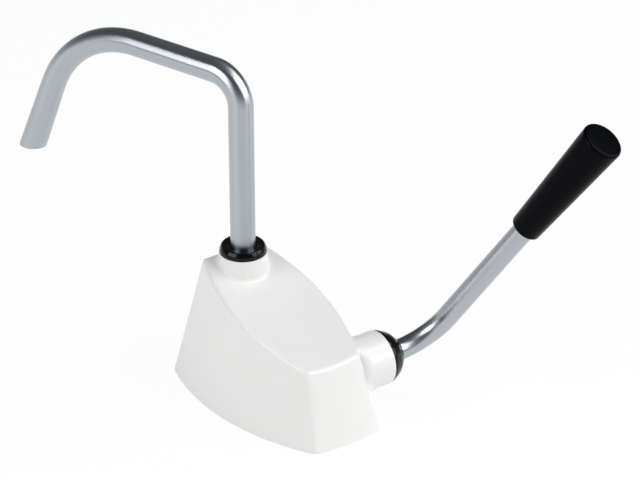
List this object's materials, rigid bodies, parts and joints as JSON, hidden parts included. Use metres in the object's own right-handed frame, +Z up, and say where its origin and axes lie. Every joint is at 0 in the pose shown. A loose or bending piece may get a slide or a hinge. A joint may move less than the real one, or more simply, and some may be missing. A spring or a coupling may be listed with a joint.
{
  "type": "galley hand pump",
  "caption": "Worktop hand pump with a wedge-shaped moulded cover, a bent swivel spout and a cranked side lever with a tapered hand grip.",
  "frame": {"origin": "middle of the base on the worktop plane", "axes": "+Z up from the worktop, +Y towards the back where the spout stands, +X towards the lever side"},
  "size_m": [0.1916, 0.355, 0.1992],
  "materials": {
    "white_moulding": "gloss white moulded plastic",
    "grey_moulding": "plain moulded plastic",
    "bearing_plastic": "natural bearing plastic",
    "black_gloss": "gloss black moulded plastic",
    "black_grip": "satin black moulded plastic",
    "tube_metal": "satin anodised tube",
    "steel": "plain stainless",
    "brass": "plain turned brass",
    "rubber": "matt black rubber"
  },
  "bodies": {
    "pump_body": {"cover": "white_moulding", "base_plate": "grey_moulding", "base_screws": "steel", "deck_inserts": "brass", "pump_chamber": "grey_moulding", "chamber_screws": "steel", "chamber_lid": "grey_moulding", "lid_gasket": "rubber", "lid_screws": "steel", "inlet_union": "brass", "valve_cage": "bearing_plastic", "delivery_elbow": "grey_moulding", "outlet_oring": "rubber", "spout_orings": "rubber", "spout_collar": "black_gloss", "lever_gland": "black_gloss", "lever_bush": "bearing_plastic", "shaft_seal": "rubber", "inner_bush": "bearing_plastic"},
    "spout": {"spout_tube": "tube_metal", "spout_nozzle": "tube_metal", "spout_sleeve": "bearing_plastic"},
    "lever": {"lever_tube": "tube_metal", "lever_arm": "tube_metal", "hand_grip": "black_grip", "lever_shaft": "steel", "lever_pin": "steel", "paddle": "bearing_plastic", "paddle_pin": "steel", "paddle_wiper": "rubber"},
    "inlet_disc": {"inlet_valve": "rubber"},
    "transfer_disc": {"transfer_valve": "rubber"}
  },
  "joints": [
    {"name": "lever_rock", "type": "hinge", "parent": "pump_body", "child": "lever", "pos_m": [0, -0.0375, 0.031], "axis": [1, 0, 0], "range_deg": [-24, 4]},
    {"name": "spout_swivel", "type": "hinge", "parent": "pump_body", "child": "spout", "pos_m": [0, 0.0445, 0.0785], "axis": [0, 0, 1], "range_deg": [-100, 160]},
    {"name": "inlet_lift", "type": "slide", "parent": "pump_body", "child": "inlet_disc", "axis": [0, 0, 1], "range_m": [0, 0.0015]},
    {"name": "transfer_lift", "type": "slide", "parent": "lever", "child": "transfer_disc", "axis": [0, -0.1736, 0.9848], "range_m": [0, 0.002]}
  ]
}
